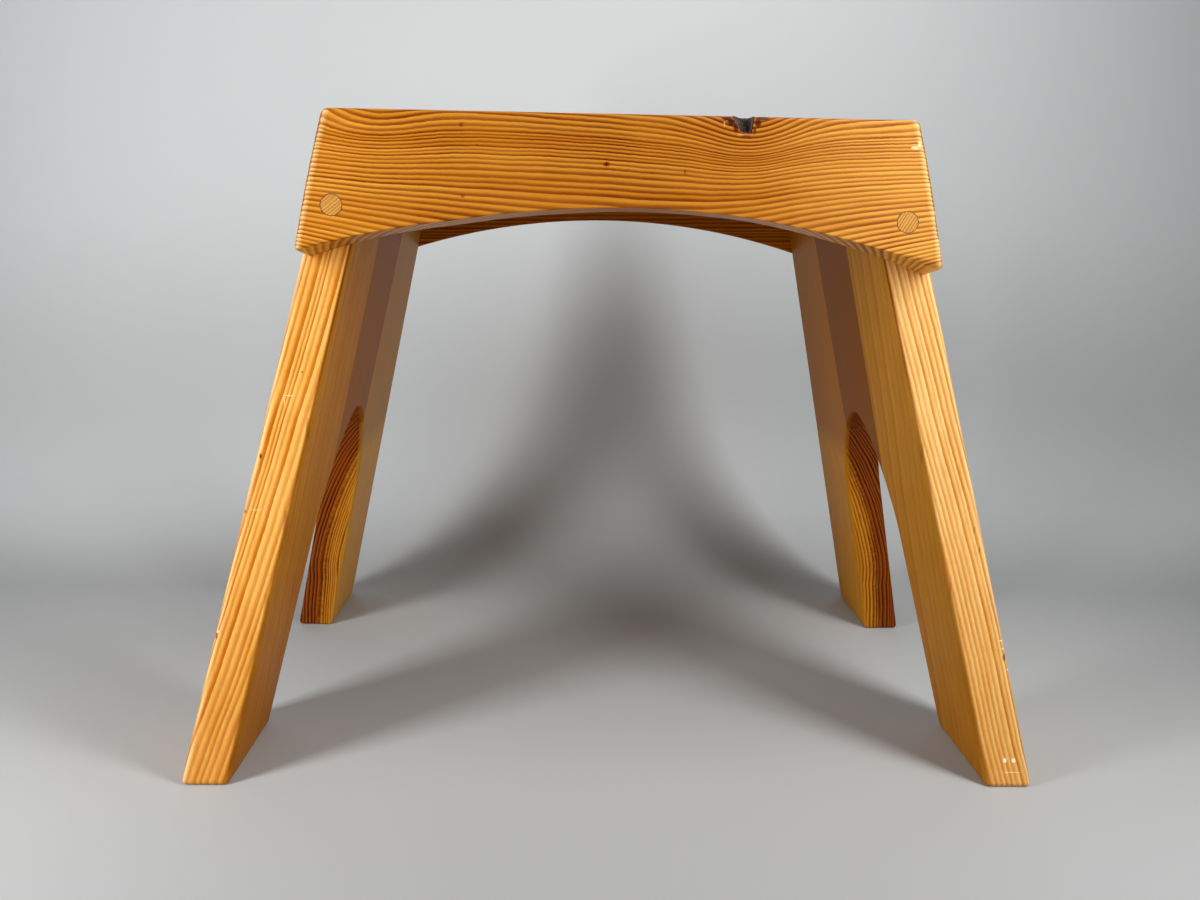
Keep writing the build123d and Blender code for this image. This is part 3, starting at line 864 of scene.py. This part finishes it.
# %% The lining's wood
SPECK_RATE, TORN_ROUGHNESS = 1.6, 0.8
BARK_FROM, BARK_TO, MOST_BARK = 392.8, 390.6, 0.85
knot_wood, tree, place = new_material("torn grey wood of a dead knot")
speck = add(tree, "TexNoise", {"Vector": place, "Scale": SPECK_RATE, "Detail": 3.0})
speck = add(tree, "MapRange", [speck, 0.35, 0.68, 0.0, 1.0])
torn = {"Factor": speck, UNDER: linear("#2E2824"), OVER: linear("#6A5648")}
torn = add(tree, "Mix", torn, **MIXED)
height = add(tree, "SeparateXYZ", [place], out=2)
low_down = add(tree, "MapRange", [height, BARK_FROM, BARK_TO, 0.0, MOST_BARK])
torn = add(tree, "Mix", {"Factor": low_down, UNDER: torn, OVER: linear("#8A4A34")}, **MIXED)
surface = add(tree, "BsdfPrincipled", {"Base Color": torn, "Roughness": TORN_ROUGHNESS})
add(tree, "OutputMaterial", [surface])
lining_mesh.materials.append(knot_wood)
print("the hollow is lined with", knot_wood.name)

# %% [markdown]
# ## Glue lines round the pegs
# Lacquer and years of hands have filled the joint round each peg with a thin dark line. It
# is a flat ring, a few hundredths of a millimetre proud of the rail, and it wanders a
# little, because the hole's rim is never perfect. Its sizes are in metres.

# %% Glue rings
PEG_RADIUS, RING_INSIDE, RING_OUTSIDE = 0.006, 0.00588, 0.00632
RING_PROUD, RING_BURIED, RING_STEPS = 0.00004, -0.0002, 72
ring_dirt, tree, place = new_material("darkened glue line")
surface = add(tree, "BsdfPrincipled", {"Base Color": linear("#5E2E0E"), "Roughness": 0.45})
add(tree, "OutputMaterial", [surface])


def glue_ring(name, centre, right_way, upward_way, outward_way):
    """A flat ring round a peg's outer end, four-sided in section."""
    ring_points, ring_faces = [], []
    for k in range(RING_STEPS):
        a = 2 * math.pi * k / RING_STEPS
        spoke = math.cos(a) * right_way + math.sin(a) * upward_way
        # the hole's rim wanders by up to a tenth of a millimetre
        outside = RING_OUTSIDE + 0.00006 * math.sin(5 * a + centre.x * 90) + 0.00004 * math.sin(11 * a)
        for radius, lift in ((RING_INSIDE, RING_BURIED), (RING_INSIDE, RING_PROUD), (outside, RING_PROUD),
                             (outside, RING_BURIED)):
            ring_points.append(centre + radius * spoke + lift * outward_way)
        here, there = 4 * k, 4 * ((k + 1) % RING_STEPS)
        ring_faces += [(here + m, there + m, there + (m + 1) % 4, here + (m + 1) % 4) for m in range(4)]
    mesh = bpy.data.meshes.new(name)
    mesh.from_pydata(ring_points, [], ring_faces)
    mesh.materials.append(ring_dirt)
    return mesh


for side, side_name in ((-1, "front"), (1, "rear")):
    upward_way = Vector((0.0, -side * side_slope, 1.0)).normalized()
    outward_way = Vector((0.0, side * 1.0, side_slope)).normalized()
    for end_name in ("left", "right"):
        peg_low, peg_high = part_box(f"{side_name}_{end_name}_peg")
        # the peg's outer end: its middle along X, and the farthest corner of its box along Y
        end_y = (peg_low.y if side < 0 else peg_high.y) - side * PEG_RADIUS * side_slope
        end_z = peg_high.z - PEG_RADIUS * upward_way.z
        centre = Vector(((peg_low.x + peg_high.x) / 2, end_y, end_z))
        ring_mesh = glue_ring(f"{side_name}_{end_name}_glue_ring", centre, Vector((1.0, 0.0, 0.0)),
                              upward_way, outward_way)
        ring = put(ring_mesh.name, ring_mesh)
        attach(ring, "root")
print("glue rings round four pegs,", RING_PROUD * 1000, "mm proud")

# %% [markdown]
# ## Floor and backdrop
# The stool stands on a sheet of pale grey paper that runs level under it and sweeps up
# behind. One mesh does both: a level part, a quarter round and an upright part. Its sizes
# are in metres.

# %% The paper sheet
SWEEP_START, SWEEP_RADIUS, BACKDROP_TOP, HALF_WIDTH, FRONT = 0.183, 0.175, 1.9, 2.2, -1.9
profile = [(FRONT, 0.0)]
profile += [(SWEEP_START + SWEEP_RADIUS * math.sin(a), SWEEP_RADIUS * (1 - math.cos(a)))
            for a in np.linspace(0.0, math.pi / 2, 25)]
profile += [(SWEEP_START + SWEEP_RADIUS, BACKDROP_TOP)]
points = [(x, y, z) for y, z in profile for x in (-HALF_WIDTH, HALF_WIDTH)]
faces = [(2 * i, 2 * i + 1, 2 * i + 3, 2 * i + 2) for i in range(len(profile) - 1)]
sheet_mesh = bpy.data.meshes.new("paper_sweep")
sheet_mesh.from_pydata(points, [], faces)
sheet_mesh.shade_smooth()
sweep = put("paper_sweep", sheet_mesh)
print("the sheet sweeps up from", SWEEP_START, "m behind the stool's middle")

# %% [markdown]
# ## Pale grey paper
# The paper is matt and faintly mottled, in patches 250 mm wide. Painted light makes it greyer
# where it lies level, paler as it rises with a pale band low on the sweep, and brighter on the
# left. Anyone who walks round behind it looks through it, so the stool's back can be seen too.

# %% The paper's surface
MOTTLE_RATE, PAPER_ROUGHNESS, PAPER_SHEEN = 0.004, 0.7, 0.25
# painted light on the paper by height in millimetres: greyer level, paler as it rises
PAINTED_LIGHT_BY_HEIGHT = [(0, 0.0), (5, 0.04), (25, 0.50), (50, 0.78), (85, 0.80), (140, 0.66), (220, 0.68),
                   (350, 1.0)]
# painted light across the paper: brighter on the left, darker on the right
SIDE_FROM, SIDE_TO, LEFT_PAINTED_LIGHT, RIGHT_PAINTED_LIGHT = -500.0, 500.0, 1.04, 0.93
paper, tree, place = new_material("pale grey paper")
mottle = add(tree, "TexNoise", {"Vector": place, "Scale": MOTTLE_RATE, "Detail": 2.0})
tone = {"Factor": mottle, UNDER: linear("#B1B3B3"), OVER: linear("#B5B7B7")}
tone = add(tree, "Mix", tone, **MIXED)
height = add(tree, "SeparateXYZ", [place], out=2)
painted_height_light = drawn(tree, height, PAINTED_LIGHT_BY_HEIGHT)
tone = add(tree, "Mix", {"Factor": painted_height_light, UNDER: tone, OVER: linear("#CED2D3")}, **MIXED)
painted_side_light = add(tree, "SeparateXYZ", [place])
painted_side_light = add(tree, "MapRange", [painted_side_light, SIDE_FROM, SIDE_TO, LEFT_PAINTED_LIGHT, RIGHT_PAINTED_LIGHT])
tone = add(tree, "VectorMath", {0: tone, "Scale": painted_side_light}, operation="SCALE")
surface = add(tree, "BsdfPrincipled",
              {"Base Color": tone, "Roughness": PAPER_ROUGHNESS, "Specular IOR Level": PAPER_SHEEN})
seen_from_behind = add(tree, "NewGeometry", out="Backfacing")
clear = add(tree, "BsdfTransparent")
surface = add(tree, "MixShader", [seen_from_behind, surface, clear])
add(tree, "OutputMaterial", [surface])
sheet_mesh.materials.append(paper)
print("the sheet is of", paper.name)

# %% [markdown]
# ## Light
# Two tall soft lights stand close by, one at each end and a little in front, and white
# card all round fills the rest. Each panel of the stool blocks one of the lamps, so their
# shadows cross behind it and climb the backdrop as a pointed arch.

# %% Lamps
# each lamp: its name, its place, width and height in metres, and its power in watts
LAMPS = [("left_lamp", (-0.636, -0.469, 0.388), 0.17, 0.93, 6.5),
         ("right_lamp", (0.403, -0.352, 0.675), 0.17, 1.08, 6.0)]
LIT_POINT = Vector((0.0, 0.1, 0.2))
for name, lamp_place, width, height_m, power in LAMPS:
    data = bpy.data.lights.new(name, "AREA")
    data.shape, data.size, data.size_y, data.energy = "RECTANGLE", width, height_m, power
    lamp = put(name, data)
    turned = (LIT_POINT - Vector(lamp_place)).to_track_quat("-Z", "Y").to_matrix().to_4x4()
    lamp.matrix_world = Matrix.Translation(lamp_place) @ turned
print(len(LAMPS), "lamps")

# %% [markdown]
# ## The room
# Where the camera looks past the paper it sees the room's pale walls, and so do
# reflections in the lacquer, but the walls add no light of their own.

# %% The white room
FILL_STRENGTH = 0.065
world = bpy.data.worlds.new("white_room")
bpy.context.scene.world = world
world.use_nodes = True
room = world.node_tree
room.nodes.clear()
fill = add(room, "Background", {"Color": linear("#FFFFFF"), "Strength": FILL_STRENGTH})
walls = add(room, "Background", {"Color": linear("#D4D6D7"), "Strength": 1.0})
ray_kinds = add(room, "LightPath").node.outputs
seen = add(room, "Math", [ray_kinds["Is Camera Ray"], ray_kinds["Is Glossy Ray"]], operation="MAXIMUM")
seen = add(room, "Math", [seen, ray_kinds["Is Transmission Ray"]], operation="MAXIMUM")
add(room, "OutputWorld", [add(room, "MixShader", [seen, fill, walls])])
print("a white room with a fill of", FILL_STRENGTH)

# %% [markdown]
# ## Camera
# The stool is seen from just below the height of its seat, from about 0.7 m away, through
# a wide lens, with the camera tipped down a little and rolled about one degree.

# %% Camera
CAMERA_PLACE, LENS_MM, SENSOR_MM = (-0.0262, -0.7177, 0.32534), 29.25, 36.0
yaw, pitch, roll = 0.0285, 0.2041, 0.0177
forward = Vector((math.sin(yaw) * math.cos(pitch), math.cos(yaw) * math.cos(pitch), -math.sin(pitch)))
right = Vector((math.cos(yaw), -math.sin(yaw), 0.0))
up = right.cross(forward)
camera_right = math.cos(roll) * right + math.sin(roll) * up
camera_up = -math.sin(roll) * right + math.cos(roll) * up
camera_data = bpy.data.cameras.new("camera")
camera_data.sensor_width = SENSOR_MM
camera_data.lens = LENS_MM
camera = put("camera", camera_data)
turned = Matrix((camera_right, camera_up, -forward)).transposed().to_4x4()
camera.matrix_world = Matrix.Translation(CAMERA_PLACE) @ turned
bpy.context.scene.camera = camera
bpy.context.scene.view_settings.view_transform = "Standard"
print("camera at", [round(c, 3) for c in CAMERA_PLACE])
